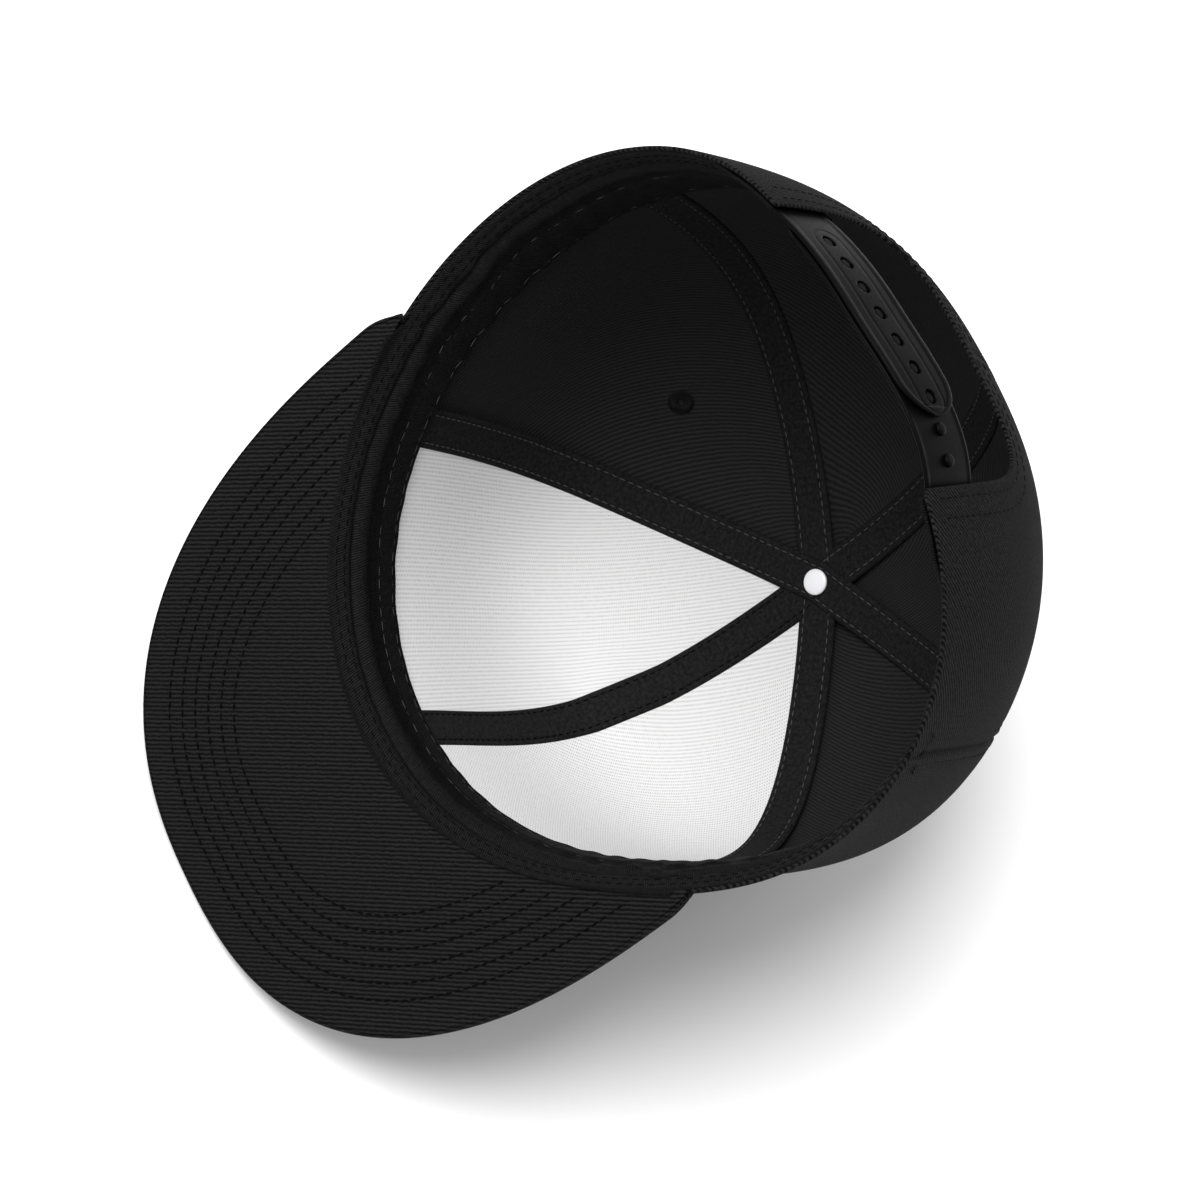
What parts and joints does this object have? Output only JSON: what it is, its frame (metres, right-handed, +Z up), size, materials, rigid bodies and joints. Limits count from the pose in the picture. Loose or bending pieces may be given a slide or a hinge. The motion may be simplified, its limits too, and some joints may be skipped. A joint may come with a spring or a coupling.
{
  "type": "hip-hop cap",
  "caption": "Structured panelled cap with a flat peak, stiffened front, seam tapes, sweatband and a snap strap across the back opening, lying upside down on crown and peak.",
  "frame": {"origin": "middle of the footprint, on the surface that the cap lies on", "axes": "+Z up from that surface, -Y the way the peak points, +X the wearer's right"},
  "size_m": [0.191, 0.2274, 0.1973],
  "materials": {
    "twill": "matte black cotton twill with fine diagonal ribs",
    "buckram": "matte white stiffening mesh with a fine dotted weave",
    "tape": "matte black binding tape with light grey stitching",
    "sweatband": "satin black twill with stitched rows",
    "strap_plastic": "satin black moulded plastic",
    "thread": "black embroidery thread with a soft sheen",
    "rivet": "glossy white enamelled metal"
  },
  "bodies": {
    "root": {"front_right_panel": "twill", "side_right_panel": "twill", "back_right_panel": "twill", "front_right_backing": "buckram", "right_eyelet": "thread", "front_left_panel": "twill", "side_left_panel": "twill", "back_left_panel": "twill", "front_left_backing": "buckram", "left_eyelet": "thread", "through_seam_tape": "tape", "right_front_seam_tape": "tape", "left_back_seam_tape": "tape", "front_seam_tape": "tape", "back_seam_tape": "tape", "sweatband": "sweatband", "peak_upper": "twill", "peak_underside": "twill", "outer_strap": "strap_plastic", "inner_strap": "strap_plastic", "button": "twill", "rivet": "rivet"}
  },
  "joints": []
}
